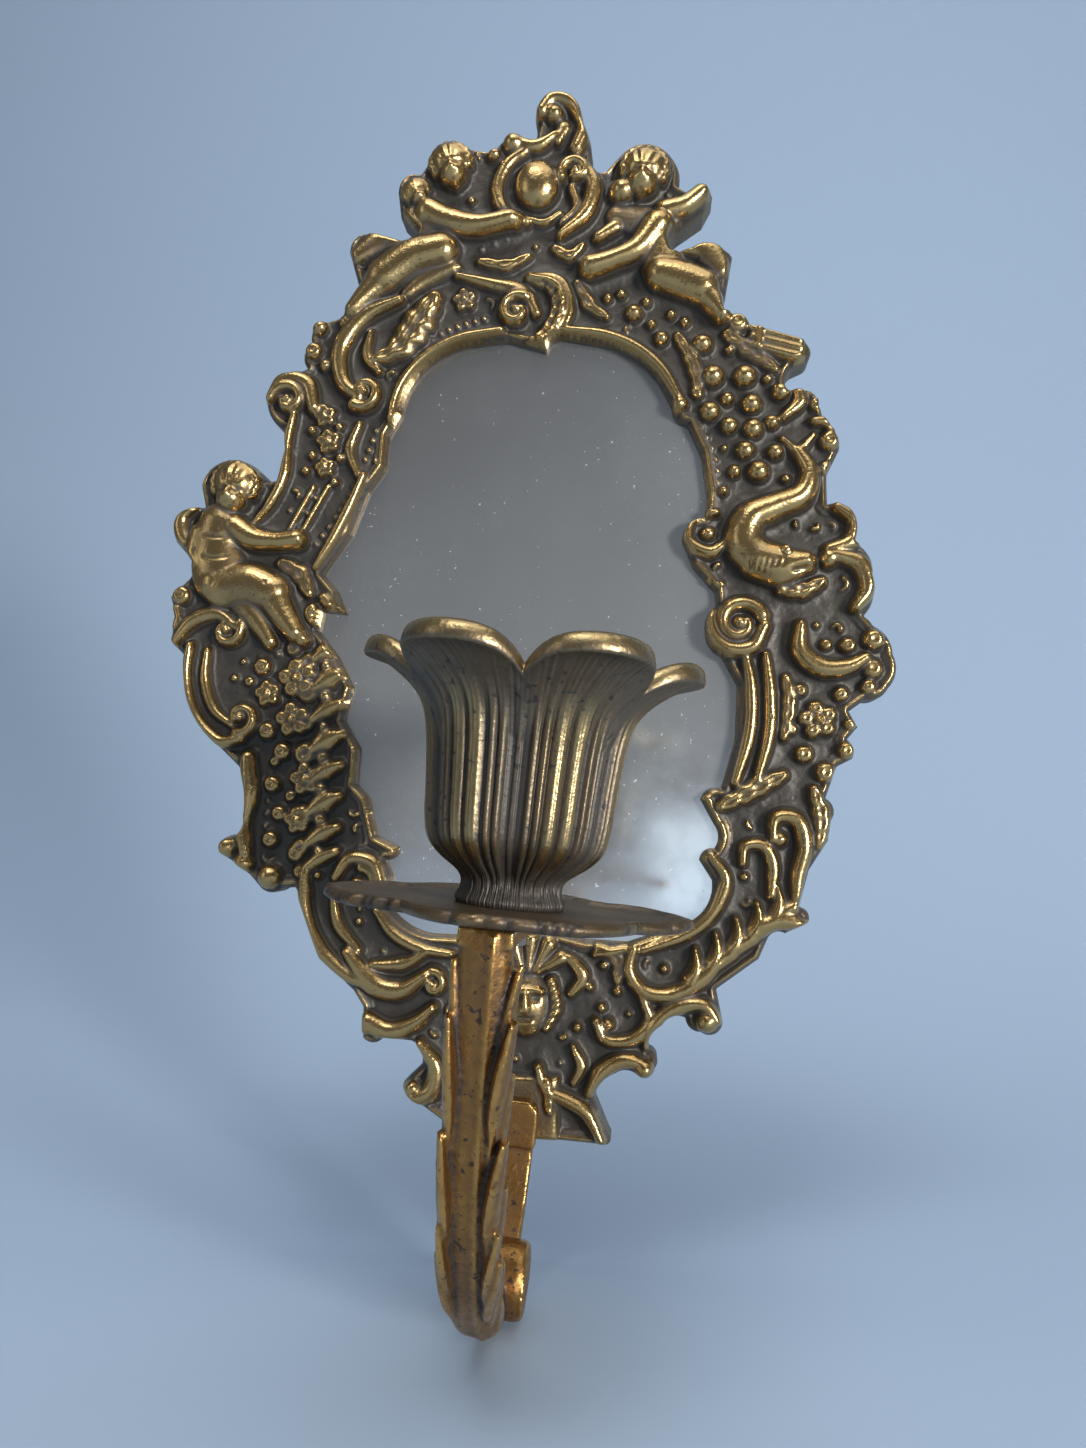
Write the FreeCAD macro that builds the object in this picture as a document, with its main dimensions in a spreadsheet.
"""Girandole mirror: a cast brass rococo wall mirror that carries one candle arm.

The frame is one hollow-backed casting. Glass, packing and back plate lie in a rebate behind its
opening, a ring hangs from a lug behind the crest, and a scrolled arm with a drip pan and a tulip
candle cup is fixed to a seat at the foot of the frame.

Axes: X to the right and Z up as seen from the front, Y towards the wall. The wall plane is y = 0,
so everything lies at negative y. The origin is on the wall plane, on the frame's centreline, at
the solid block behind the lower mask. Millimetres and degrees.
"""
import FreeCAD, Part
import math
import os

Vector = FreeCAD.Vector
doc = FreeCAD.newDocument("girandole_mirror")

# ---------------------------------------------------------------- driving dimensions
SIZES = {
    # frame casting
    "frame_width": 212.8,
    "frame_height": 309.8,
    "field_depth": 9.5,
    "casting_wall": 3.0,
    "casting_skin": 3.0,
    "relief_scale": 1.0,
    # mirror glass and what holds it
    "lip_thickness": 3.1,
    "glass_thickness": 2.5,
    "glass_clearance": 0.6,
    "packing_thickness": 1.0,
    "plate_thickness": 0.8,
    "plate_overlap": 7.2,
    "boss_radius": 3.3,
    "back_screw_radius": 1.25,
    "back_screw_head_radius": 2.4,
    "back_screw_head_height": 1.3,
    "back_screw_grip": 3.2,
    # hanging lug and ring
    "lug_width": 8.0,
    "lug_thickness": 1.2,
    "lug_depth": 5.7,
    "lug_screw_radius": 1.0,
    "lug_screw_head_radius": 1.8,
    "lug_screw_head_height": 0.9,
    "lug_screw_grip": 2.8,
    "eye_wall": 1.1,
    "eye_length": 4.0,
    "ring_radius": 7.5,
    "ring_wire_radius": 1.0,
    "ring_play": 0.65,
    # candle arm and its fixing
    "arm_lean": 4.7,
    "seat_depth": 12.0,
    "face_gap": 0.3,
    "foot_thickness": 5.2,
    "foot_width": 10.0,
    "foot_top": 6.6,
    "foot_corner": 2.6,
    "stop_swing": 8.0,
    "arm_width": 10.6,
    "arm_reach": 90.0,
    "arm_rise": 62.8,
    "arm_drop": 39.0,
    "arm_bar_thickness": 3.6,
    "leaf_thickness": 3.0,
    "volute_radius": 9.3,
    "volute_width": 16.6,
    "arm_screw_radius": 2.0,
    "arm_screw_head_radius": 3.7,
    "arm_screw_head_height": 2.6,
    "arm_washer_radius": 5.0,
    "arm_washer_thickness": 0.8,
    "counterbore_depth": 6.0,
    "running_clearance": 0.08,
    "thread_clearance": 0.05,
    # drip pan
    "pan_radius": 38.4,
    "pan_valley_radius": 32.5,
    "pan_thickness": 2.7,
    "pan_dish": 1.1,
    "pan_turn": 13.0,
    # tulip cup
    "cup_height": 54.4,
    "cup_base_radius": 11.2,
    "cup_body_radius": 19.8,
    "petal_radius": 36.2,
    "petal_thickness": 2.6,
    "socket_radius": 11.3,
    "socket_floor": 12.0,
    "socket_depth": 22.0,
    "cup_screw_radius": 2.5,
    "cup_screw_head_radius": 4.3,
    "cup_screw_head_height": 2.4,
    "cup_screw_grip": 8.0,
    "cup_turn": 2.5,
}

sheet = doc.addObject("Spreadsheet::Sheet", "sizes")
for row, (alias, value) in enumerate(SIZES.items(), start=1):
    sheet.set("A%d" % row, alias)
    sheet.set("B%d" % row, str(value))
    sheet.setAlias("B%d" % row, alias)
doc.recompute()


def size(alias):
    """The value of one cell of the sheet."""
    return float(getattr(sheet, alias))


WIDTH_AS_DRAWN = 212.8
HEIGHT_AS_DRAWN = 309.8
KX = size("frame_width") / WIDTH_AS_DRAWN
KZ = size("frame_height") / HEIGHT_AS_DRAWN

FIELD = size("field_depth")
WALL = size("casting_wall")
POCKET = FIELD - size("casting_skin")
GLASS_FRONT = FIELD - size("lip_thickness")
GLASS_BACK = GLASS_FRONT - size("glass_thickness")
PLATE_FRONT = GLASS_BACK - size("packing_thickness")
PLATE_BACK = PLATE_FRONT - size("plate_thickness")
SEAT = size("seat_depth")


# ---------------------------------------------------------------- drawing helpers
BAR_STEP = 0.5
SLIGHT_BULGE = 1.05


def at(x, z, depth=0.0):
    """A drawn point of the frame, stretched with the frame's width and height."""
    return Vector(x * KX, -depth, z * KZ)


def bulge_edge(start, end, bulge, depth):
    """Line or arc between two drawn points; a positive bulge lies left of the way from start to end."""
    a = at(start[0], start[1], depth)
    b = at(end[0], end[1], depth)
    if abs(bulge) < SLIGHT_BULGE:
        return Part.LineSegment(a, b).toShape()
    run_x = end[0] - start[0]
    run_z = end[1] - start[1]
    chord = math.hypot(run_x, run_z)
    middle_x = (start[0] + end[0]) / 2 - bulge * run_z / chord
    middle_z = (start[1] + end[1]) / 2 + bulge * run_x / chord
    return Part.Arc(a, at(middle_x, middle_z, depth), b).toShape()


def bulge_face(rows, depth=0.0):
    """Face inside a closed loop of (x, z, bulge) rows, each row an arc from the row before it."""
    edges = []
    for index, (x, z, bulge) in enumerate(rows):
        edges.append(bulge_edge(rows[index - 1][:2], (x, z), bulge, depth))
    return Part.Face(Part.Wire(edges))


def offset_corners(corners, distance):
    """Corners of a clockwise polygon moved outwards so that every side shifts by the same distance."""
    moved = []
    count = len(corners)
    for index in range(count):
        before = corners[index - 1]
        here = corners[index]
        after = corners[(index + 1) % count]
        in_x, in_z = here[0] - before[0], here[1] - before[1]
        out_x, out_z = after[0] - here[0], after[1] - here[1]
        in_length = math.hypot(in_x, in_z)
        out_length = math.hypot(out_x, out_z)
        n1_x, n1_z = -in_z / in_length, in_x / in_length
        n2_x, n2_z = -out_z / out_length, out_x / out_length
        share = distance / (1 + n1_x * n2_x + n1_z * n2_z)
        moved.append((here[0] + (n1_x + n2_x) * share, here[1] + (n1_z + n2_z) * share))
    return moved


def stretched(corners):
    """Drawn corners stretched with the frame, as real millimetres."""
    return [(x * KX, z * KZ) for x, z in corners]


def polygon_prism(corners, depth_from, depth_to):
    """Prism over real corners between two depths behind the front."""
    points = [Vector(x, -depth_from, z) for x, z in corners]
    face = Part.Face(Part.makePolygon(points + points[:1]))
    return face.extrude(Vector(0, depth_from - depth_to, 0))


def ring_of_points(centre, radius, along, sides, turn=0.0, flat=1.0):
    """Corners of a regular polygon around a centre, square to a direction; flat squashes it in depth."""
    along = Vector(along)
    along.normalize()
    across = along.cross(Vector(0, 1, 0))
    if across.Length < 0.1:
        across = Vector(1, 0, 0)
    across.normalize()
    upward = along.cross(across)
    points = []
    for index in range(sides):
        angle = 2 * math.pi * (index + 0.5) / sides + turn
        points.append(centre + across * (radius * math.cos(angle)) + upward * (radius * flat * math.sin(angle)))
    return points


def ruled_solid(rings):
    """Solid through rings of corners that lie one after the other, with flat sides between them."""
    faces = [Part.Face(Part.makePolygon(rings[0] + rings[0][:1])), Part.Face(Part.makePolygon(rings[-1] + rings[-1][:1]))]
    for lower, upper in zip(rings, rings[1:]):
        for index in range(len(lower)):
            after = (index + 1) % len(lower)
            corners = [lower[index], lower[after], upper[after], upper[index], lower[index]]
            faces.append(Part.Face(Part.makePolygon(corners)))
    solid = Part.Solid(Part.Shell(faces))
    if solid.Volume < 0:
        solid.reverse()
    return solid


def knob(x, z, radius, depth):
    """Rounded knob of the relief; its widest ring is at the given depth."""
    if radius < 6.0:
        sides = 6
        steps = [(FIELD - 1.0, 1.0), (depth + 0.2 * radius, 0.94), (depth + 0.95 * radius, 0.42)]
    else:
        sides = 8
        steps = [(FIELD - 1.0, 1.0), (depth, 1.0), (depth + 0.62 * radius, 0.76), (depth + radius, 0.3)]
    rings = []
    for level, share in steps:
        rings.append(ring_of_points(at(x, z, level), radius * share * size("relief_scale"), Vector(0, -1, 0), sides))
    return ruled_solid(rings)


def limb(start, end, radius_start, radius_end, depth_start, depth_end=None):
    """Tapered limb with rounded ends between two drawn points."""
    if depth_end is None:
        depth_end = depth_start
    a = at(start[0], start[1], depth_start)
    b = at(end[0], end[1], depth_end)
    way = b - a
    unit = Vector(way)
    unit.normalize()
    r0 = radius_start * size("relief_scale")
    r1 = radius_end * size("relief_scale")
    rings = [
        ring_of_points(a - unit * r0 * 0.8, r0 * 0.5, way, 6),
        ring_of_points(a - unit * r0 * 0.1, r0, way, 6),
        ring_of_points(b + unit * r1 * 0.1, r1, way, 6),
        ring_of_points(b + unit * r1 * 0.8, r1 * 0.5, way, 6),
    ]
    return [ruled_solid(rings)]


def scroll_bar(rows, radius, depth):
    """Raised bar with sloping sides that runs through arcs; the first row is the start point."""
    pieces = []
    foot = FIELD - 0.8
    rise = Vector(0, foot - depth - 0.85 * radius, 0)
    for index in range(1, len(rows)):
        x, z, bulge = rows[index]
        edge = bulge_edge(rows[index - 1][:2], (x, z), bulge, foot)
        steps = 1
        if abs(bulge) >= SLIGHT_BULGE:
            steps = max(2, round(edge.Length / edge.Curve.Radius / BAR_STEP))
        first, last = edge.ParameterRange
        rings = []
        for step in range(steps + 1):
            parameter = first + (last - first) * step / steps
            point = edge.valueAt(parameter)
            side = edge.tangentAt(parameter).cross(Vector(0, 1, 0))
            rings.append([point - side * (radius * 1.1), point + side * (radius * 1.1),
                          point + side * (radius * 0.5) + rise, point - side * (radius * 0.5) + rise])
        pieces.append(ruled_solid(rings))
    return pieces


def round_prism(radius, length, base, along, sides=12):
    """Small round bar or hole drawn with a few flat sides."""
    ring = ring_of_points(base, radius, along, sides)
    return Part.Face(Part.makePolygon(ring + ring[:1])).extrude(Vector(along) * length)


def skin_solid(rings):
    """Solid through rings of equally many corners, with a flat first and last ring and a three-cornered skin."""
    faces = [Part.Face(Part.makePolygon(rings[0] + rings[0][:1])), Part.Face(Part.makePolygon(rings[-1] + rings[-1][:1]))]
    for lower, upper in zip(rings, rings[1:]):
        for index in range(len(lower)):
            after = (index + 1) % len(lower)
            faces.append(Part.Face(Part.makePolygon([lower[index], lower[after], upper[index], lower[index]])))
            faces.append(Part.Face(Part.makePolygon([lower[after], upper[after], upper[index], lower[after]])))
    solid = Part.Solid(Part.Shell(faces))
    if solid.Volume < 0:
        solid.reverse()
    return solid


# ---------------------------------------------------------------- frame outline and opening
# Rows are (x, z, bulge), clockwise from the front; the bulge is outwards.
OUTLINE = [
    # curled finial of the crest
    (-3.6, 262.0, 0.4), (0.5, 271.2, 2.8), (10.2, 262.5, 3.2), (12.6, 256.5, 0.8), (13.4, 249.6, 0.6),
    (17.0, 246.6, -1.2),
    # right reclining child: head, raised hand, shoulder
    (21.5, 251.8, 0.4), (37.2, 250.6, 4.0), (39.2, 241.0, 1.2), (41.5, 239.4, -0.6), (49.3, 237.8, 2.0),
    (46.5, 232.2, 0.8), (38.8, 226.8, -0.6), (37.4, 219.6, -1.4),
    # its drapery and foot, then the end of the sheaf
    (43.0, 220.6, -0.4), (55.3, 218.6, 2.6), (52.9, 203.6, 0.4), (53.2, 200.0, -0.6), (61.0, 196.4, 1.8),
    (76.4, 191.4, 0.2), (76.2, 185.4, 1.8), (72.8, 183.8, -0.4), (71.2, 176.6, -1.2),
    # shells and twisting scrolls of the right shoulder
    (77.0, 177.0, 0.3), (80.4, 171.2, 1.3), (83.8, 165.2, -0.6), (85.4, 157.6, 1.5), (82.4, 151.2, 1.0),
    (82.6, 142.6, -0.6), (88.6, 141.4, 1.2), (90.2, 131.4, 1.3), (94.9, 121.4, 2.0), (92.6, 110.2, 1.6),
    # flower scroll and leaves down the right side
    (95.4, 107.2, -0.6), (100.5, 99.2, 1.4), (99.0, 89.4, 1.6), (92.8, 86.2, 1.2), (88.2, 82.8, 0.6),
    (90.6, 78.4, 1.0), (87.6, 74.8, 0.4), (89.0, 69.4, 1.2), (84.8, 67.2, 0.8), (81.6, 58.2, -1.0),
    (83.2, 52.2, 1.5), (82.2, 46.4, 1.0), (77.0, 38.2, 0.4), (74.2, 27.8, -0.5),
    # leaf swag, lower right
    (76.6, 23.6, 1.5), (70.4, 20.6, 0.8), (65.6, 18.8, -1.2), (63.2, 13.4, 1.0), (51.6, 4.8, 0.6),
    (53.2, -3.0, 0.6), (47.4, -7.0, 2.6), (43.2, -3.4, 1.2), (36.8, -5.6, -1.4), (33.2, -12.4, -1.4),
    (34.8, -17.4, 1.5), (30.2, -19.6, 1.5), (24.0, -19.2, -1.2), (18.2, -26.0, -1.2), (22.4, -35.6, -0.6),
    (20.6, -38.4, 1.4),
    # lower edge behind the arm
    (9.0, -37.8, -0.3), (0.0, -37.8, 0.0), (-14.0, -38.0, 0.9), (-24.0, -34.2, 0.2),
    # lower left scrolls
    (-34.0, -27.8, 0.4), (-34.6, -22.8, 1.6), (-30.6, -18.8, -0.6), (-33.8, -12.6, -1.2), (-42.0, -11.9, -0.9),
    (-48.0, -12.2, 1.5), (-48.2, -3.6, 0.2), (-51.2, 0.8, -0.3), (-61.2, 9.4, 0.6), (-66.6, 22.8, 0.8),
    (-69.6, 29.6, 0.2), (-73.6, 29.2, -0.6), (-80.6, 29.8, 1.6), (-84.2, 33.6, -0.2), (-92.0, 38.6, 1.0),
    (-88.2, 44.4, 2.2), (-85.6, 49.6, -1.2), (-88.6, 64.6, -1.4), (-97.2, 72.4, -0.6), (-105.4, 86.6, 1.2),
    (-107.0, 97.4, 0.2), (-111.6, 102.4, 0.6), (-110.2, 109.0, 0.8),
    # left seated child and its wing
    (-112.4, 115.4, 0.7), (-106.4, 121.4, 0.9), (-104.8, 125.2, -0.8), (-111.6, 132.6, 0.4),
    (-107.4, 142.4, 2.6), (-103.0, 143.2, -0.3), (-104.6, 150.0, 0.6), (-94.2, 158.3, 2.4),
    (-83.6, 151.2, 1.4), (-80.8, 151.4, -0.6), (-78.4, 160.0, -0.6), (-79.4, 167.4, -0.6),
    # left volute and flower knots
    (-85.2, 176.0, 1.4), (-77.2, 184.6, 2.8), (-72.8, 186.6, -0.3), (-71.8, 194.4, 2.0), (-69.2, 200.6, 1.6),
    (-62.4, 202.6, 0.4),
    # left reclining child: foot, drapery, shoulder, head
    (-57.6, 211.4, -0.6), (-61.4, 224.0, -0.2), (-53.4, 228.8, 2.6), (-42.2, 225.0, -0.2), (-39.6, 228.4, -0.9),
    (-45.6, 234.6, 0.6), (-46.8, 243.2, 0.8), (-39.8, 248.0, 2.2), (-36.6, 252.8, -0.4), (-25.2, 255.8, 2.8),
    (-17.2, 254.2, 0.4), (-10.2, 259.0, 1.4), (-4.6, 256.8, 0.6),
]

# The same for the mirror opening; the bulge is away from the glass.
OPENING = [
    # dome, with the leaf tip of the crest's scroll
    (-43.2, 171.6, 0.4), (-36.6, 185.4, 1.4), (-23.0, 192.6, 1.2), (-11.0, 193.8, 0.5), (-5.6, 192.4, -0.2),
    (0.2, 190.4, -0.6), (5.6, 194.2, 1.2), (20.4, 191.2, 0.9), (33.4, 181.4, 1.2), (37.8, 173.2, 0.5),
    # right shoulder and its small volute
    (42.6, 166.8, -1.4), (46.6, 157.8, 0.6), (48.2, 146.2, 0.2), (47.6, 138.6, -0.4), (41.2, 132.6, -2.0),
    (44.4, 124.4, -0.8), (50.8, 117.0, 0.6), (51.0, 112.8, 0.8),
    # big volute and the straight side below it
    (48.0, 106.0, -1.2), (52.6, 98.4, -1.4), (57.2, 90.0, 1.0), (56.6, 74.0, 0.6), (52.8, 60.6, 0.2),
    # cusps and round corner, lower right
    (47.0, 57.4, -1.4), (50.8, 50.4, 0.9), (51.0, 43.6, 1.2), (46.8, 40.2, -1.2), (50.4, 34.6, 0.8),
    (41.0, 21.8, 3.2), (27.0, 16.8, 0.6),
    # palmette above the mask
    (15.0, 17.2, -0.3), (5.0, 19.4, -0.8), (-6.0, 19.6, -0.6), (-18.0, 17.2, -0.8), (-29.0, 17.4, 0.3),
    # volute and leaf tips of the left side
    (-41.0, 24.4, 1.4), (-40.8, 33.4, -1.0), (-42.8, 38.2, 0.4), (-39.2, 41.8, -1.2), (-45.8, 45.0, 0.6),
    (-48.8, 56.0, 0.4), (-52.6, 59.8, 0.4), (-52.0, 70.4, -0.6), (-57.0, 78.4, 0.6), (-54.6, 88.2, -1.0),
    (-59.6, 97.6, 0.4), (-65.8, 105.2, 0.5), (-64.8, 111.2, 0.6), (-57.6, 110.4, -0.6), (-60.6, 117.2, -0.8),
    (-65.2, 122.4, 0.3),
    # left shoulder
    (-57.2, 134.4, -0.4), (-52.4, 147.6, 0.8), (-47.4, 154.8, -0.5), (-46.8, 164.8, 0.4),
]

# Straight-cut pane, clockwise: it covers the opening with a few millimetres to spare.
GLASS_CORNERS = stretched([
    (-26, 199), (22, 199), (42, 184), (54, 160), (62, 118), (63, 72), (56.5, 36), (41, 12),
    (-36, 12), (-51, 28), (-63, 70), (-71, 107), (-70, 124), (-52, 172), (-44, 187),
])
REBATE_CORNERS = offset_corners(GLASS_CORNERS, size("glass_clearance"))
CURB_CORNERS = offset_corners(REBATE_CORNERS, WALL)
PLATE_CORNERS = offset_corners(GLASS_CORNERS, size("plate_overlap"))

# Inner edge of the frame's outer bays, clockwise; the hollow keeps one wall inside it.
BAY_CORNERS = stretched([
    (9, 254), (14, 243), (24, 249), (35, 246), (36, 226), (34, 219), (52, 214), (50, 199), (70, 189),
    (69, 174), (81, 163), (79, 146), (72, 138), (72, 112), (93, 104), (95, 91), (84, 83), (85, 72),
    (77, 62), (79, 47), (71, 29), (60, 15), (44, 3), (30, -9), (16, -26), (16, -35), (-22, -32),
    (-31, -25), (-26, -12), (-42, -8), (-48, 3), (-60, 13), (-67, 33), (-82, 36), (-82, 58), (-102, 86),
    (-105, 104), (-101, 122), (-107, 135), (-99, 142), (-100, 152), (-92, 155), (-79, 145), (-74, 160),
    (-80, 176), (-70, 184), (-66, 198), (-54, 206), (-56, 223), (-40, 221), (-36, 229), (-41, 241),
    (-29, 253), (-12, 253),
])
POCKET_CORNERS = offset_corners(BAY_CORNERS, -WALL)

# ---------------------------------------------------------------- places of the fixings
ARM_X = -2.0 * KX
ARM_SCREW_Z = -32.0 * KZ
LUG_X = -2.0 * KX
BLOCK_LEFT, BLOCK_RIGHT = -15.0, 12.0
BLOCK_TOP = min(z for x, z in PLATE_CORNERS) - 0.8
BLOCK_FOOT = -38.0 * KZ

# Back-plate screws sit just outside the rebate, each on the side between two corners of the pane.
BOSS_SIDES = [(14, 0.5), (1, 0.5), (5, 0.8), (8, 0.12)]


def boss_places():
    ring = offset_corners(REBATE_CORNERS, size("boss_radius") + 0.2)
    places = []
    for side, share in BOSS_SIDES:
        a = ring[side]
        b = ring[(side + 1) % len(ring)]
        places.append((a[0] + (b[0] - a[0]) * share, a[1] + (b[1] - a[1]) * share))
    return places


BOSSES = boss_places()


# ---------------------------------------------------------------- relief of the frame
def crest_forms():
    """Curled finial, domed boss in its C-scroll, and the scroll above the glass."""
    forms = [knob(0.6, 265.4, 5.4, FIELD + 1.0)]
    forms += scroll_bar([(10.0, 246.5, 0), (13.6, 234.5, 1.2), (3.6, 224.8, 2.6)], 1.9, FIELD + 1.2)
    forms += scroll_bar([(-6.0, 229.6, 0), (-15.2, 240.0, 2.2), (-7.4, 252.6, 3.2)], 1.9, FIELD + 1.0)
    forms += [knob(8.6, 244.6, 4.2, FIELD + 2.4)]
    forms += scroll_bar([(-21.5, 211.6, 0), (-5.0, 205.0, 3.0)], 1.9, FIELD + 1.0)
    forms += scroll_bar([(-2.6, 212.0, 0), (0.6, 194.6, 3.4)], 2.2, FIELD + 1.0)
    forms += [knob(-8.4, 200.4, 4.4, FIELD + 1.6)]
    return forms


def boss_dome():
    """Oval domed boss of the crest, a lens of the boss's own width."""
    rings = []
    for level, share in [(-1.2, 1.0), (1.6, 1.0), (4.2, 0.84), (6.0, 0.56), (6.8, 0.24)]:
        rings.append(ring_of_points(at(-3.2, 241.4, FIELD + level), 8.0 * share, Vector(0, -1, 0), 12))
    return [ruled_solid(rings)]


def right_child():
    """Child reclining at the right of the boss, reaching down to the leaf work."""
    forms = [knob(28.6, 244.0, 8.2, FIELD + 0.6)]
    forms += limb((36.0, 231.0), (45.4, 236.6), 3.4, 2.8, FIELD)
    forms += limb((34.4, 228.0), (27.0, 219.0), 4.2, 3.0, FIELD + 1.4)
    forms += limb((27.0, 219.0), (15.2, 214.6), 3.0, 3.2, FIELD + 1.8)
    forms += limb((36.0, 210.6), (45.2, 208.4), 3.8, 4.6, FIELD + 2.2)
    forms += limb((45.2, 208.4), (50.6, 201.2), 4.0, 2.6, FIELD + 1.6)
    forms += limb((61.5, 192.6), (74.0, 188.8), 3.0, 3.4, FIELD)
    return forms


def left_child():
    """Child reclining at the left of the boss, its arm laid along the boss's scroll."""
    forms = [knob(-30.4, 248.0, 7.6, FIELD + 0.4), knob(-40.2, 242.0, 5.4, FIELD + 0.2)]
    forms += limb((-34.0, 233.6), (-24.0, 228.6), 4.2, 3.4, FIELD + 1.4)
    forms += limb((-24.0, 228.6), (-11.0, 230.6), 3.2, 3.0, FIELD + 2.0)
    forms += limb((-34.6, 220.6), (-48.0, 214.6), 4.4, 4.8, FIELD + 1.8)
    forms += limb((-48.0, 214.6), (-54.6, 205.4), 4.6, 2.8, FIELD + 1.6)
    return forms


def left_shoulder():
    """Acanthus C-scroll, outer volute, garland and rib of the left shoulder."""
    forms = scroll_bar([(-50.0, 201.0, 0), (-61.8, 187.6, 2.4), (-55.0, 175.4, 3.0)], 2.4, FIELD + 0.8)
    forms += limb((-40.4, 202.4), (-45.6, 189.4), 3.6, 2.0, FIELD)
    forms += scroll_bar([(-69.4, 173.6, 0), (-82.6, 178.6, 5.6)], 2.1, FIELD)
    forms += [knob(-77.0, 175.2, 4.4, FIELD + 0.4)]
    for x, z, radius in [(-66.0, 167.6, 4.0), (-65.0, 155.6, 3.8)]:
        forms.append(knob(x, z, radius, FIELD + 0.6))
    forms += limb((-67.4, 147.6), (-74.0, 136.4), 1.8, 1.8, FIELD + 0.4)
    forms += scroll_bar([(-76.2, 168.0, 0), (-84.4, 138.0, -1.9)], 1.5, FIELD)
    return forms


def seated_child():
    """Child seated at the left of the glass, with its wing and the scroll below it."""
    forms = [knob(-94.0, 148.0, 8.6, FIELD + 0.8)]
    forms += limb((-98.0, 134.0), (-95.6, 122.0), 5.6, 6.4, FIELD + 1.2)
    forms += limb((-90.0, 134.6), (-74.0, 131.6), 3.2, 2.4, FIELD + 1.2)
    forms += limb((-90.6, 117.4), (-80.0, 117.0), 5.2, 4.8, FIELD + 2.0)
    forms += limb((-80.0, 117.0), (-72.8, 105.6), 4.8, 3.0, FIELD + 1.8)
    forms += scroll_bar([(-101.4, 128.6, 0), (-105.6, 141.4, 4.4)], 1.8, FIELD)
    forms += scroll_bar([(-107.6, 101.2, 0), (-94.6, 109.6, 1.8), (-89.6, 104.8, 2.4)], 1.9, FIELD + 0.6)
    return forms


def left_panel():
    """Railed C-panel, leaf heads and knobs down the left side."""
    forms = scroll_bar([(-101.4, 99.0, 0), (-99.4, 81.0, -1.6), (-89.0, 74.4, -1.6)], 1.6, FIELD)
    forms += [knob(-88.0, 79.8, 3.4, FIELD + 0.2)]
    forms += scroll_bar([(-84.6, 66.0, 0), (-83.6, 39.6, 2.4)], 1.8, FIELD + 0.2)
    for x, z, radius in [(-69.6, 88.4, 4.4), (-69.6, 75.0, 4.4), (-62.4, 57.6, 4.2), (-60.0, 44.6, 3.6)]:
        forms.append(knob(x, z, radius, FIELD + 0.6))
    forms += limb((-88.6, 40.6), (-77.0, 33.6), 3.0, 3.4, FIELD)
    forms += scroll_bar([(-63.0, 31.0, 0), (-61.0, 13.4, -1.2), (-44.0, 2.6, -2.2)], 1.9, FIELD + 0.4)
    return forms


def mask_and_foot():
    """Calm mask and palmette above the seat of the arm, and the lower left scrolls."""
    forms = [knob(-1.0, 1.0, 7.6, FIELD)]
    for angle in (-36, 0, 36):
        tip_x = 8.6 * math.sin(math.radians(angle))
        tip_z = 8.8 + 8.6 * math.cos(math.radians(angle))
        forms += limb((tip_x * 0.45, 11.4), (tip_x, tip_z), 1.2, 1.9, FIELD + 0.8)
    forms += limb((-44.0, 2.4), (-34.6, 4.6), 2.6, 3.0, FIELD + 0.8)
    forms += limb((-45.4, -9.6), (-34.0, -7.6), 2.6, 2.0, FIELD)
    return forms


def right_lower():
    """C-scrolls, leaf swag and knobs of the lower right quarter."""
    forms = scroll_bar([(28.6, 13.6, 0), (38.0, 4.0, -3.2), (51.0, 11.0, -2.2)], 1.8, FIELD + 0.8)
    for x, z in [(49.0, 10.4), (59.0, 18.2)]:
        forms += limb((x, z), (x - 0.4, z + 6.4), 3.0, 1.2, FIELD + 0.6)
    forms += scroll_bar([(33.0, -10.4, 0), (37.0, -1.6, 1.2), (49.6, 0.6, 2.2)], 1.8, FIELD)
    forms += [knob(49.2, -3.0, 3.0, FIELD), knob(32.2, -16.4, 2.8, FIELD)]
    forms += scroll_bar([(30.8, 3.0, 0), (20.4, -9.2, 4.6)], 1.5, FIELD + 0.2)
    forms += scroll_bar([(17.4, -23.6, 0), (31.6, -15.4, 2.8)], 1.6, FIELD)
    forms += scroll_bar([(3.2, -18.6, 0), (9.0, -25.2, -1.6), (20.0, -36.0, 1.6)], 1.7, FIELD)
    return forms


def right_side():
    """Big volute with its rail, small volutes, flower and outer leaves of the right side."""
    forms = scroll_bar([(49.6, 112.6, 0), (51.0, 102.4, -1.6), (61.4, 100.2, -2.6), (62.0, 108.4, -2.4)], 1.8, FIELD + 0.8)
    forms += [knob(58.6, 106.4, 3.4, FIELD + 0.8)]
    forms += scroll_bar([(59.6, 98.0, 0), (56.6, 62.0, 2.0)], 1.7, FIELD + 0.6)
    forms += scroll_bar([(66.0, 50.0, 0), (73.6, 43.0, 3.0), (72.8, 31.0, 0.6)], 1.7, FIELD + 0.4)
    forms += scroll_bar([(52.6, 38.4, 0), (45.0, 20.4, 3.2)], 1.5, FIELD + 0.4)
    forms += [knob(79.0, 80.0, 5.2, FIELD - 0.2), knob(78.6, 67.4, 3.4, FIELD)]
    forms += scroll_bar([(75.0, 106.0, 0), (77.0, 96.6, -1.4), (91.0, 95.8, -2.2)], 2.1, FIELD + 0.6)
    forms += [knob(94.0, 100.6, 4.2, FIELD + 0.2)]
    return forms


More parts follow.
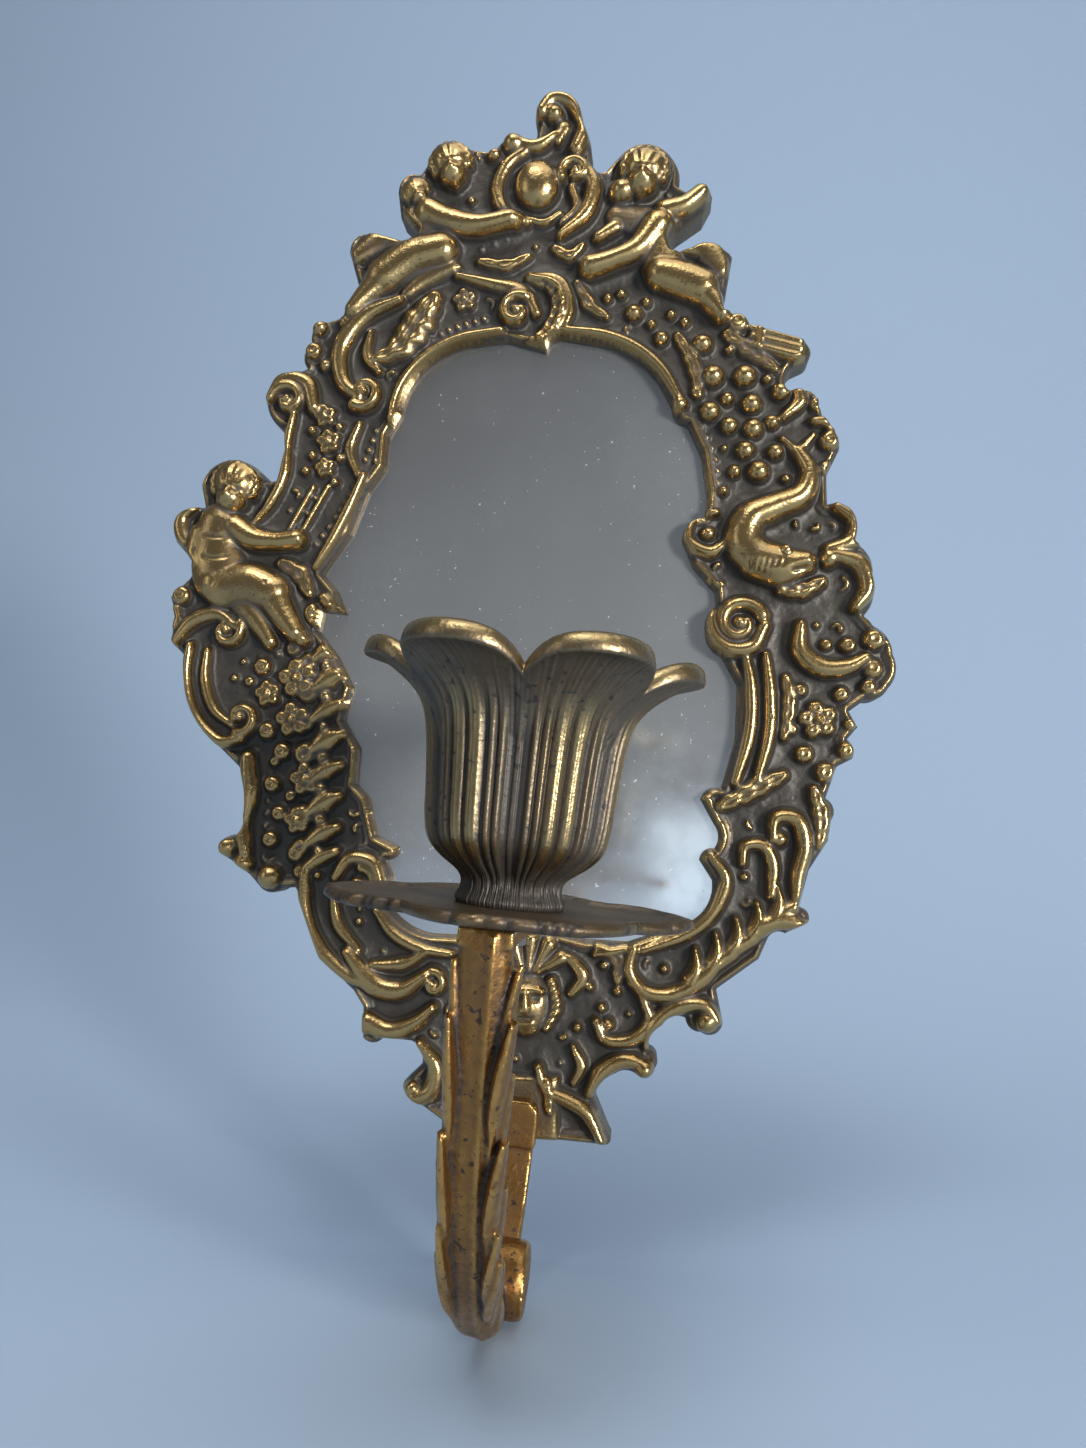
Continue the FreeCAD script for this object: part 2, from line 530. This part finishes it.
def dolphin():
    """S-bodied fish of the right shoulder, its tail curling up into the shells."""
    forms = limb((76.4, 147.0), (74.0, 156.0), 2.8, 1.4, FIELD + 0.6)
    forms += scroll_bar([(76.8, 147.0, 0), (64.0, 139.6, -2.8)], 3.0, FIELD + 0.8)
    forms += scroll_bar([(64.0, 139.6, 0), (60.0, 127.0, 4.6)], 3.6, FIELD + 1.2)
    forms += limb((61.6, 126.6), (72.0, 124.0), 4.4, 5.4, FIELD + 1.8)
    forms += scroll_bar([(82.6, 128.6, 0), (88.0, 134.0, -1.0), (84.4, 139.6, 1.2)], 1.9, FIELD)
    forms += scroll_bar([(84.6, 126.4, 0), (91.8, 122.6, 1.2), (90.0, 113.0, 1.6)], 2.2, FIELD)
    forms += [knob(82.0, 160.4, 3.6, FIELD)]
    return forms


def right_shoulder():
    """Grapes between the crest and the fish, and the small volute on the glass side."""
    forms = []
    for x, z, radius in [(46.6, 190.4, 3.4), (49.6, 180.4, 3.8), (58.6, 179.6, 3.8), (48.8, 169.6, 3.4),
                         (60.8, 169.0, 4.2), (60.4, 156.4, 4.0)]:
        forms.append(knob(x, z, radius, FIELD + 0.4))
    forms += scroll_bar([(50.4, 129.6, 0), (43.6, 133.6, 2.4)], 1.5, FIELD + 0.4)
    return forms


def opening_rails():
    """Moulded rails that follow the dome and the left side of the opening."""
    forms = scroll_bar([(-45.4, 171.6, 0), (-37.6, 187.4, 1.2), (-12.0, 196.4, 3.0)], 1.5, FIELD + 0.4)
    forms += scroll_bar([(7.0, 196.0, 0), (27.0, 189.8, 1.6), (39.6, 174.4, 1.2)], 1.5, FIELD + 0.4)
    forms += scroll_bar([(-53.6, 151.6, 0), (-66.8, 124.4, -1.9)], 1.4, FIELD + 0.4)
    return forms


def seat_stops():
    """Leaf ends either side of the arm's foot; they stop the arm after a few degrees."""
    swing = math.radians(size("stop_swing"))
    shoulder = size("foot_top") - size("foot_corner")
    reach = size("foot_width") / 2 * math.cos(swing) + shoulder * math.sin(swing) + size("face_gap")
    stops = []
    for side in (-1, 1):
        near = ARM_X + side * reach
        far = near + side * 2.6
        low = ARM_SCREW_Z + 3.6
        high = ARM_SCREW_Z + size("foot_top") + 6.0
        foot = [(near, low), (near, high), (far, high - 1.5), (far, low + 0.6)]
        stops.append(polygon_prism(foot if side < 0 else foot[::-1], FIELD - 1.0, SEAT + 2.6))
    return stops


def frame_shape():
    """Whole casting: pierced plate with its relief, hollow back, rebate, screw posts and arm seat."""
    plate = bulge_face(OUTLINE).extrude(Vector(0, -FIELD, 0))
    forms = []
    for group in (crest_forms, boss_dome, right_child, left_child, left_shoulder, seated_child, left_panel,
                  mask_and_foot, right_lower, right_side, dolphin, right_shoulder, opening_rails, seat_stops):
        forms += group()
    seat = polygon_prism(stretched([(-12, -20), (9, -20), (9, -37.0), (-12, -37.0)]), 1.0, SEAT)
    body = plate.fuse(forms + [seat])

    sight = bulge_face(OPENING, -1.0).extrude(Vector(0, -1 - FIELD, 0))
    curb = polygon_prism(CURB_CORNERS, -1.0, POCKET)
    block = Part.makeBox((BLOCK_RIGHT - BLOCK_LEFT) * KX, POCKET + 1, BLOCK_TOP - BLOCK_FOOT,
                         Vector(BLOCK_LEFT * KX, -POCKET, BLOCK_FOOT))
    lug_pad = Part.makeBox(LUG_PAD_WIDTH, POCKET, LUG_PAD_TOP - LUG_PAD_FOOT,
                           Vector(LUG_X - LUG_PAD_WIDTH / 2, -POCKET, LUG_PAD_FOOT))
    hollow = polygon_prism(POCKET_CORNERS, -1.0, POCKET).cut([curb, block, lug_pad])
    rebate = polygon_prism(REBATE_CORNERS, -1.0, GLASS_FRONT)
    plate_seat = polygon_prism(offset_corners(PLATE_CORNERS, 0.5), -1.0, PLATE_FRONT)
    low_pad = Part.makeBox(LUG_PAD_WIDTH + 1, size("lug_depth") + 1, LUG_PAD_TOP - LUG_PAD_FOOT + 1,
                           Vector(LUG_X - LUG_PAD_WIDTH / 2 - 0.5, -size("lug_depth"), LUG_PAD_FOOT - 0.5))
    behind_wall = Part.makeBox(400 * KX, 30, 500 * KZ, Vector(-200 * KX, 0, -150 * KZ))
    cutters = [sight, hollow, rebate, plate_seat, low_pad, behind_wall]

    forward = Vector(0, -1, 0)
    through = FIELD + 30
    for x, z, radius in [(78.6, 135.2, 2.7), (84.8, 118.6, 2.6)]:
        cutters.append(round_prism(radius, through, at(x, z, -1), forward, 8))
    screw_centre = Vector(ARM_X, 1, ARM_SCREW_Z)
    bore_radius = size("arm_screw_radius") + size("running_clearance")
    cutters.append(Part.makeCylinder(bore_radius, through, screw_centre, forward))
    recess_radius = size("arm_washer_radius") + size("face_gap")
    cutters.append(Part.makeCylinder(recess_radius, 1 + size("counterbore_depth"), screw_centre, forward))
    hole_radius = size("lug_screw_radius") + size("thread_clearance")
    for z in LUG_SCREW_HEIGHTS:
        cutters.append(round_prism(hole_radius, size("lug_screw_grip") + 0.3, Vector(LUG_X, -size("lug_depth"), z),
                                   forward))
    body = body.cut(cutters)

    posts = []
    holes = []
    for x, z in BOSSES:
        posts.append(round_prism(size("boss_radius"), POCKET - PLATE_FRONT + 0.5, Vector(x, -POCKET - 0.5, z),
                                 Vector(0, 1, 0), 10))
        holes.append(round_prism(size("back_screw_radius") + size("thread_clearance"), size("back_screw_grip") + 0.4,
                                 Vector(x, -PLATE_FRONT, z), forward))
    return body.fuse(posts).cut(holes)


# ---------------------------------------------------------------- making the document's pieces
def feature(name, shape, placement=None):
    """One piece whose shape is worked out here; its placement is set after its shape."""
    piece = doc.addObject("Part::Feature", name)
    piece.Label = name
    piece.Shape = shape
    if placement is not None:
        piece.Placement = placement.multiply(shape.Placement)
    return piece


def plane_of(body, role):
    for part_of_origin in body.Origin.OriginFeatures:
        if part_of_origin.Role == role:
            return part_of_origin


def sheet_piece(name, corners, depth_formula, thickness_formula, holes=()):
    """Flat piece parallel to the wall: a polygon sketch padded towards the viewer, with round holes."""
    body = doc.addObject("PartDesign::Body", name)
    body.Label = name
    sketch = body.newObject("Sketcher::SketchObject", name + "_outline")
    sketch.AttachmentSupport = [(plane_of(body, "XZ_Plane"), "")]
    sketch.MapMode = "FlatFace"
    points = [Vector(x, z, 0) for x, z in corners]
    for start, end in zip(points, points[1:] + points[:1]):
        sketch.addGeometry(Part.LineSegment(start, end), False)
    for x, z, radius in holes:
        rim = [Vector(v.x, v.z, 0) for v in ring_of_points(Vector(x, 0, z), radius, Vector(0, -1, 0), 12)]
        for start, end in zip(rim, rim[1:] + rim[:1]):
            sketch.addGeometry(Part.LineSegment(start, end), False)
    sketch.setExpression("AttachmentOffset.Base.z", depth_formula)
    pad = body.newObject("PartDesign::Pad", name + "_pad")
    pad.Profile = sketch
    pad.setExpression("Length", thickness_formula)
    body.Tip = pad
    return body


# ---------------------------------------------------------------- places that depend on the sizes
LUG_PAD_WIDTH = size("lug_width") + 4.0
LUG_PAD_FOOT = max(z for x, z in PLATE_CORNERS) + 1.2
EYE_RADIUS = size("ring_wire_radius") + size("ring_play")
EYE_OUTER = EYE_RADIUS + size("eye_wall")
LUG_FOOT = LUG_PAD_FOOT + 0.6
LOWER_SCREW_Z = LUG_FOOT + size("lug_screw_head_radius") + 0.8
RING_FOOT = LOWER_SCREW_Z + size("lug_screw_head_radius") + size("face_gap")
EYE_Z = RING_FOOT + size("ring_wire_radius") + 2 * size("ring_radius")
LUG_PAD_TOP = EYE_Z - EYE_OUTER - 0.6
LUG_SCREW_HEIGHTS = (LOWER_SCREW_Z, LUG_PAD_TOP - 7.6)
EYE_DEPTH = size("lug_depth") - EYE_OUTER

LEAN = FreeCAD.Placement(Vector(ARM_X, 0, ARM_SCREW_Z), FreeCAD.Rotation(Vector(0, 1, 0), size("arm_lean")))
FOOT_BACK = SEAT + size("face_gap")
FOOT_FRONT = FOOT_BACK + size("foot_thickness")
RISE = size("arm_rise")
REACH = size("arm_reach")
DROP = size("arm_drop")
BAR = size("arm_bar_thickness")
PAN_FLOOR = RISE + size("pan_thickness") - size("pan_dish")
KU = (REACH - FOOT_BACK) / (90.0 - 12.3)
KW_UP = RISE / 62.8
KW_DOWN = DROP / 39.0


# ---------------------------------------------------------------- candle arm
def arm_at(u, w, x=0.0):
    """Point of the arm as drawn: u from the wall, w above the fixing screw, x across."""
    height = w * KW_UP if w > 0 else w * KW_DOWN
    return Vector(x, -(FOOT_BACK + (u - 12.3) * KU), height)


def arm_profile(start, steps, x_low, width):
    """Solid of a closed side profile; a step is an end point, or a middle and an end point of an arc."""
    edges = []
    here = arm_at(start[0], start[1], x_low)
    for step in steps:
        end = arm_at(step[-2], step[-1], x_low)
        if len(step) == 2:
            edges.append(Part.LineSegment(here, end).toShape())
        else:
            edges.append(Part.Arc(here, arm_at(step[0], step[1], x_low), end).toShape())
        here = end
    return Part.Face(Part.Wire(edges)).extrude(Vector(width, 0, 0))


# Side line of the front leg and of the rear strip, as (u, w) in a section through the wall.
FRONT_LEG_FACE = [(58.0, -35.5, 72.0, -27.0), (98.0, -6.0, 113.6, 25.0), (119.8, 42.0, 121.6, 62.0)]
FRONT_LEG_BACK = [(109.8, 44.0, 104.8, 29.0), (91.0, 3.0, 68.0, -17.5), (56.0, -24.5, 44.0, -28.0)]
REAR_STRIP = [(13.6, -13.0, 18.2, -24.5), (22.5, -30.2, 30.0, -35.0), (36.0, -27.0), (23.0, -21.6, 17.4, -2.0),
              (12.9, -2.0)]
VOLUTE_U = 40.0
LEAF_STATIONS = [(60.0, -28.0, 5.6), (78.0, -16.5, 6.4), (92.5, -0.5, 6.6), (103.5, 18.5, 6.2), (110.5, 38.0, 5.2)]


def candle_arm_shape():
    """Scrolled arm: foot, rear strip, volute, leafed front leg and the flat bar under the pan."""
    half = size("arm_width") / 2
    leg = arm_profile((40.0, -39.0), FRONT_LEG_FACE + [(112.0, 62.0)] + FRONT_LEG_BACK + [(40.0, -39.0)],
                      -half, 2 * half)
    bar = Part.makeBox(2 * half, 44.0, BAR, Vector(-half, -(REACH + 32.0), RISE - BAR))
    disc = Part.makeCylinder(size("cup_screw_head_radius") + 3.2, BAR, Vector(0, -REACH, RISE - BAR))
    strip = arm_profile((12.9, -2.0), REAR_STRIP, -size("foot_width") / 2 + 0.4, size("foot_width") - 0.8)
    foot_half = size("foot_width") / 2
    top = size("foot_top")
    foot = Part.makeBox(2 * foot_half, size("foot_thickness"), top + 5.4, Vector(-foot_half, -FOOT_FRONT, -5.4))
    cut = size("foot_corner")
    corners = [Vector(-foot_half, -FOOT_FRONT - 1, top), Vector(-foot_half, -FOOT_FRONT - 1, top - cut),
               Vector(-foot_half + cut, -FOOT_FRONT - 1, top)]
    clip = Part.Face(Part.makePolygon(corners + corners[:1])).extrude(Vector(0, size("foot_thickness") + 2, 0))
    mirror_clip = clip.mirror(Vector(0, 0, 0), Vector(1, 0, 0))
    foot = foot.cut([clip, mirror_clip])
    volute_radius = size("volute_radius")
    centre = arm_at(VOLUTE_U, -39.0) + Vector(0, 0, volute_radius)
    width = size("volute_width")
    volute = Part.makeCylinder(volute_radius, width, centre - Vector(width / 2, 0, 0), Vector(1, 0, 0))
    for side in (-1, 1):
        mouth = centre + Vector(side * (width / 2 - 2.0), 0, 0)
        volute = volute.cut(round_prism(volute_radius * 0.68, 3.0, mouth, Vector(side, 0, 0), 16))
    leaves = []
    for u, w, radius in LEAF_STATIONS:
        place = arm_at(u, w)
        spread = 2 * half + 2 * size("leaf_thickness")
        rings = []
        for across, share in [(-0.5, 0.6), (-0.36, 1.0), (0.36, 1.0), (0.5, 0.6)]:
            rings.append(ring_of_points(place + Vector(across * spread, 0, 0), radius * share, Vector(1, 0, 0), 8))
        leaves.append(ruled_solid(rings))
    arm = leg.fuse([bar, disc, strip, foot, volute] + leaves)
    thread = size("arm_screw_radius") + size("thread_clearance")
    arm_hole = Part.makeCylinder(thread, size("foot_thickness") - 0.4, Vector(0, -FOOT_BACK, 0), Vector(0, -1, 0))
    cup_hole = round_prism(size("cup_screw_radius") + 0.15, BAR + 2, Vector(0, -REACH, RISE - BAR - 1),
                           Vector(0, 0, 1))
    return arm.cut([arm_hole, cup_hole])


# ---------------------------------------------------------------- drip pan and tulip cup
def lobed_face(tip, valley, lobes, turn, height):
    """Face with round lobes about the cup's axis: an arc from valley to valley over each tip."""
    edges = []
    for index in range(lobes):
        angles = [math.radians(turn + 360.0 / lobes * (index + share)) for share in (-0.5, 0.0, 0.5)]
        points = []
        for angle, radius in zip(angles, (valley, tip, valley)):
            points.append(Vector(radius * math.sin(angle), -REACH - radius * math.cos(angle), height))
        edges.append(Part.Arc(*points).toShape())
    return Part.Face(Part.Wire(edges))


def lobed_prism(tip, valley, lobes, turn, height, rise, chords=7):
    """Prism over the same lobes with a few chords to each arc, for the sunk floor of the pan."""
    corners = []
    for edge in lobed_face(tip, valley, lobes, turn, height).Edges:
        first, last = edge.ParameterRange
        for step in range(chords):
            corners.append(edge.valueAt(first + (last - first) * step / chords))
    return Part.Face(Part.makePolygon(corners + corners[:1])).extrude(Vector(0, 0, rise))


def drip_pan_shape():
    """Four-lobed pan with a low rim, bored for the cup's screw."""
    tip = size("pan_radius")
    valley = size("pan_valley_radius")
    turn = -size("pan_turn")
    plate = lobed_face(tip, valley, 4, turn, RISE).extrude(Vector(0, 0, size("pan_thickness")))
    dish = lobed_prism(tip - 3.2, valley - 3.2, 4, turn, PAN_FLOOR, size("pan_dish") + 1)
    hole = round_prism(size("cup_screw_radius") + 0.15, size("pan_thickness") + 2, Vector(0, -REACH, RISE - 1),
                       Vector(0, 0, 1))
    return plate.cut([dish, hole])


FLUTES = 24
PETALS = 6
CUP_AS_DRAWN = 54.4


def petal_reach(angle):
    """Radius of the petals' plan outline: round lobes that meet in notches; zero angle faces a notch."""
    tip = size("petal_radius")
    lobe = 0.365 * tip
    pitch = 2 * math.pi / PETALS
    off_centre = (angle % pitch) - pitch / 2
    centre = tip - lobe
    return centre * math.cos(off_centre) + math.sqrt(lobe ** 2 - (centre * math.sin(off_centre)) ** 2)


def bell_height(radius):
    """Height of the bell's outer skin where it opens out into the petals."""
    line = [(size("cup_body_radius") + 1.0, 33.0), (21.6, 36.0), (23.4, 40.0), (27.5, 44.6), (32.0, 47.8),
            (size("petal_radius"), 50.0)]
    for (r0, h0), (r1, h1) in zip(line, line[1:]):
        if radius <= r1:
            return (h0 + (h1 - h0) * (radius - r0) / (r1 - r0)) * size("cup_height") / CUP_AS_DRAWN
    return line[-1][1] * size("cup_height") / CUP_AS_DRAWN


def cup_ring(radius_of, height_of):
    """One ring of the cup's corners; even corners lie on the ribs and odd ones in the flutes."""
    ring = []
    for index in range(2 * FLUTES):
        angle = math.pi * index / FLUTES
        radius = radius_of(angle, index % 2)
        ring.append(Vector(radius * math.sin(angle), -radius * math.cos(angle), height_of(radius)))
    return ring


def candle_cup_shape():
    """Tulip cup: stem, fluted body, six petals with rolled lips, funnel and candle socket."""
    scale = size("cup_height") / CUP_AS_DRAWN
    base = size("cup_base_radius")
    body = size("cup_body_radius")
    thick = size("petal_thickness")
    socket = size("socket_radius")
    floor = size("socket_floor")
    mouth = floor + size("socket_depth")

    def turned(radius, height, flute=0.0):
        return cup_ring(lambda angle, odd: radius - flute * odd, lambda r: height * scale)

    def petal(share, inset, lift, flute=0.0):
        start = body + 1.0

        def radius_of(angle, odd):
            return start + (petal_reach(angle) - start) * share - inset - flute * odd

        return cup_ring(radius_of, lambda r: bell_height(min(r + inset, size("petal_radius"))) + lift)

    rings = [turned(base, 0.0), turned(base + 0.2, 1.2), turned(base - 0.6, 3.6), turned(base + 0.2, 6.2),
             turned(body - 3.6, 9.4, 0.5), turned(body - 1.2, 12.6, 1.1), turned(body - 0.2, 17.0, 1.3),
             turned(body + 0.5, 26.0, 1.3), petal(0.04, 0.0, 0.0, 1.1), petal(0.3, 0.0, 0.0, 0.8),
             petal(0.7, 0.0, 0.0, 0.5), petal(1.0, 0.0, 0.0), petal(1.0, 1.6, thick + 1.6),
             petal(1.0, 4.4, thick - 0.6), petal(0.4, thick * 0.8, thick), turned(socket + 1.2, mouth / scale)]
    bell = skin_solid(rings)
    bore = Part.makeCylinder(socket, CUP_AS_DRAWN, Vector(0, 0, floor))
    thread = round_prism(size("cup_screw_radius") + size("thread_clearance"), size("cup_screw_grip") + 0.6,
                         Vector(0, 0, 0), Vector(0, 0, 1))
    cup = bell.cut([bore, thread])
    cup.rotate(Vector(0, 0, 0), Vector(0, 0, 1), size("cup_turn"))
    cup.translate(Vector(0, -REACH, PAN_FLOOR))
    return cup


# ---------------------------------------------------------------- the pieces
feature("frame_casting", frame_shape())

sheet_piece("mirror_glass", GLASS_CORNERS,
            "sizes.field_depth - sizes.lip_thickness - sizes.glass_thickness", "sizes.glass_thickness")
sheet_piece("glass_packing", GLASS_CORNERS,
            "sizes.field_depth - sizes.lip_thickness - sizes.glass_thickness - sizes.packing_thickness",
            "sizes.packing_thickness")
plate_holes = [(x, z, size("back_screw_radius") + 0.15) for x, z in BOSSES]
sheet_piece("back_plate", PLATE_CORNERS,
            "sizes.field_depth - sizes.lip_thickness - sizes.glass_thickness - sizes.packing_thickness"
            " - sizes.plate_thickness", "sizes.plate_thickness", plate_holes)


def screw_shape(head_radius, head_height, radius, length):
    """Cheese-head screw along local Z: the head's seat is at zero and the shank points up."""
    head = round_prism(head_radius, head_height, Vector(0, 0, -head_height), Vector(0, 0, 1))
    shank = round_prism(radius, length, Vector(0, 0, 0), Vector(0, 0, 1))
    return head.fuse(shank)


def facing(point):
    """Placement that turns local Z towards the viewer, its origin at the given point."""
    return FreeCAD.Placement(point, FreeCAD.Rotation(Vector(1, 0, 0), 90))


def placed(shape, placement):
    moved = shape.copy()
    moved.Placement = placement.multiply(moved.Placement)
    return moved


back_screw = screw_shape(size("back_screw_head_radius"), size("back_screw_head_height"), size("back_screw_radius"),
                         size("plate_thickness") + size("back_screw_grip"))
feature("back_plate_screws",
        Part.makeCompound([placed(back_screw, facing(Vector(x, -PLATE_BACK, z))) for x, z in BOSSES]))


# hanging lug: strap and rolled eye, its screws, and the ring
def lug_shape():
    depth_back = size("lug_depth") - size("lug_thickness")
    half = size("lug_width") / 2
    eye_half = size("eye_length") / 2
    strap_top = EYE_Z - EYE_RADIUS - 0.3
    strap = Part.makeBox(2 * half, size("lug_thickness"), LUG_PAD_TOP - LUG_FOOT,
                         Vector(LUG_X - half, -size("lug_depth"), LUG_FOOT))
    neck = Part.makeBox(2 * eye_half, size("lug_thickness"), strap_top - LUG_PAD_TOP + 1.0,
                        Vector(LUG_X - eye_half, -size("lug_depth"), LUG_PAD_TOP - 1.0))
    eye = round_prism(EYE_OUTER, 2 * eye_half, Vector(LUG_X - eye_half, -EYE_DEPTH, EYE_Z), Vector(1, 0, 0), 16)
    bore = round_prism(EYE_RADIUS, 2 * eye_half + 2, Vector(LUG_X - eye_half - 1, -EYE_DEPTH, EYE_Z),
                       Vector(1, 0, 0))
    holes = []
    for z in LUG_SCREW_HEIGHTS:
        holes.append(round_prism(size("lug_screw_radius") + 0.1, size("lug_thickness") + 2,
                                 Vector(LUG_X, -depth_back + 1, z), Vector(0, -1, 0)))
    return strap.fuse([neck, eye]).cut([bore] + holes)


feature("hanging_lug", lug_shape())
lug_screw = screw_shape(size("lug_screw_head_radius"), size("lug_screw_head_height"), size("lug_screw_radius"),
                        size("lug_thickness") + size("lug_screw_grip"))
lug_back = size("lug_depth") - size("lug_thickness")
feature("lug_screws",
        Part.makeCompound([placed(lug_screw, facing(Vector(LUG_X, -lug_back, z))) for z in LUG_SCREW_HEIGHTS]))

def ring_shape():
    """Wire ring drawn as a closed chain of straight lengths."""
    lengths = 28
    sides = 6
    wire = size("ring_wire_radius")
    stations = []
    for step in range(lengths):
        angle = 2 * math.pi * step / lengths
        outward = Vector(math.sin(angle), 0, math.cos(angle))
        station = []
        for corner in range(sides):
            turn = 2 * math.pi * corner / sides
            station.append(outward * (size("ring_radius") + wire * math.cos(turn)) + Vector(0, wire * math.sin(turn), 0))
        stations.append(station)
    faces = []
    for here, after in zip(stations, stations[1:] + stations[:1]):
        for corner in range(sides):
            side = (corner + 1) % sides
            loop = [here[corner], here[side], after[side], after[corner], here[corner]]
            faces.append(Part.Face(Part.makePolygon(loop)))
    solid = Part.Solid(Part.Shell(faces))
    if solid.Volume < 0:
        solid.reverse()
    return solid


feature("hanging_ring", ring_shape(),
        FreeCAD.Placement(Vector(LUG_X, -EYE_DEPTH, EYE_Z - size("ring_radius")), FreeCAD.Rotation()))

feature("candle_arm", candle_arm_shape(), LEAN)
feature("drip_pan", drip_pan_shape(), LEAN)
feature("candle_cup", candle_cup_shape(), LEAN)

cup_screw = screw_shape(size("cup_screw_head_radius"), size("cup_screw_head_height"), size("cup_screw_radius"),
                        BAR + size("pan_thickness") - size("pan_dish") + size("cup_screw_grip"))
feature("cup_screw", placed(cup_screw, FreeCAD.Placement(Vector(0, -REACH, RISE - BAR), FreeCAD.Rotation())), LEAN)

washer_front = size("counterbore_depth") - size("face_gap")
washer_back = washer_front - size("arm_washer_thickness")
washer = round_prism(size("arm_washer_radius"), size("arm_washer_thickness"), Vector(0, 0, 0), Vector(0, 0, 1), 16)
washer = washer.cut(Part.makeCylinder(size("arm_screw_radius") + 0.05, size("arm_washer_thickness")))
feature("arm_washer", placed(washer, facing(Vector(0, -washer_back, 0))), LEAN)
arm_screw = Part.makeCylinder(size("arm_screw_radius"), FOOT_FRONT - 0.9 - washer_back)
arm_screw_head = round_prism(size("arm_screw_head_radius"), size("arm_screw_head_height"),
                             Vector(0, 0, -size("arm_screw_head_height")), Vector(0, 0, 1), 16)
feature("arm_screw", placed(arm_screw.fuse(arm_screw_head), facing(Vector(0, -washer_back, 0))), LEAN)

# ---------------------------------------------------------------- checks, then one file for each piece
doc.recompute()
NODES = ["frame_casting", "mirror_glass", "glass_packing", "back_plate", "back_plate_screws", "hanging_lug",
         "lug_screws", "hanging_ring", "candle_arm", "drip_pan", "candle_cup", "cup_screw", "arm_washer",
         "arm_screw"]
for item in doc.Objects:
    if "Invalid" in item.State or "Error" in item.State:
        raise RuntimeError("failed object: " + item.Name)
by_label = {item.Label: item for item in doc.Objects}
os.makedirs("parts", exist_ok=True)
for node in NODES:
    shape = by_label[node].Shape
    if shape.isNull() or not shape.isValid() or not shape.Solids:
        raise RuntimeError("bad shape: " + node)
    print(node, len(shape.Solids), round(shape.Volume, 1))
    shape.exportStep("parts/%s.step" % node)
